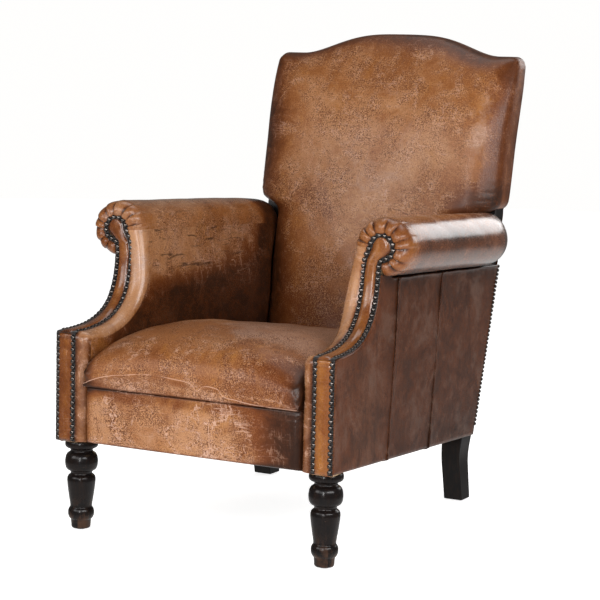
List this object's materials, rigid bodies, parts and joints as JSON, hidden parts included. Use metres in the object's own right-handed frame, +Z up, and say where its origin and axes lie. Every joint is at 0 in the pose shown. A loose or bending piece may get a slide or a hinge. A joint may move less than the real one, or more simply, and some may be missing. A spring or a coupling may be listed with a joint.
{
  "type": "club chair",
  "caption": "Worn leather club chair with scroll arms, camel-top back, tight seat, turned front legs and nail-head trim.",
  "frame": {"origin": "on the floor, under the middle of the chair's bounding box", "axes": "+Z up, the chair faces -Y, and +X is to the right of someone who looks at its front"},
  "size_m": [0.7108, 0.8994, 0.9945],
  "materials": {
    "worn_leather": "waxed, worn and mottled, semi-gloss",
    "outside_leather": "waxed, darkened, semi-gloss",
    "facing_leather": "waxed, orange-brown, glossy",
    "gimp_and_nails": "antiqued dark bronze",
    "dark_wood": "dark polish, glossy, rubbed at the feet",
    "frame_wood": "sawn hardwood",
    "stuffing": "foam and wadding",
    "webbing": "woven jute",
    "dust_cloth": "black lining cloth",
    "glide_steel": "satin"
  },
  "bodies": {
    "root": {"apron_cover": "worn_leather", "apron_pad": "stuffing", "arm_pad_left": "stuffing", "arm_pad_right": "stuffing", "arm_post_left": "frame_wood", "arm_post_right": "frame_wood", "arm_rail_left": "frame_wood", "arm_rail_right": "frame_wood", "back_pad": "stuffing", "back_post_left": "dark_wood", "back_post_right": "dark_wood", "back_rail": "frame_wood", "back_stay": "frame_wood", "corner_block_front_left": "frame_wood", "corner_block_front_right": "frame_wood", "corner_block_rear_left": "frame_wood", "corner_block_rear_right": "frame_wood", "crest_rail": "frame_wood", "dust_cover": "dust_cloth", "foot_glide_front_left": "glide_steel", "foot_glide_front_right": "glide_steel", "foot_glide_rear_left": "glide_steel", "foot_glide_rear_right": "glide_steel", "front_leg_left": "dark_wood", "front_leg_right": "dark_wood", "front_rail": "frame_wood", "inside_arm_cover_left": "worn_leather", "inside_arm_cover_right": "worn_leather", "inside_back_cover": "worn_leather", "nail_trim_left": "gimp_and_nails", "nail_trim_right": "gimp_and_nails", "outside_arm_front_left": "outside_leather", "outside_arm_front_right": "outside_leather", "outside_arm_middle_left": "outside_leather", "outside_arm_middle_right": "outside_leather", "outside_arm_rear_left": "outside_leather", "outside_arm_rear_right": "outside_leather", "outside_back_panel": "outside_leather", "post_facing_left": "facing_leather", "post_facing_right": "facing_leather", "scroll_facing_left": "facing_leather", "scroll_facing_right": "facing_leather", "seat_cover": "worn_leather", "seat_foam": "stuffing", "side_rail_left": "frame_wood", "side_rail_right": "frame_wood", "webbing_cross_1": "webbing", "webbing_cross_2": "webbing", "webbing_cross_3": "webbing", "webbing_long_1": "webbing", "webbing_long_2": "webbing", "webbing_long_3": "webbing", "webbing_long_4": "webbing"}
  },
  "joints": []
}
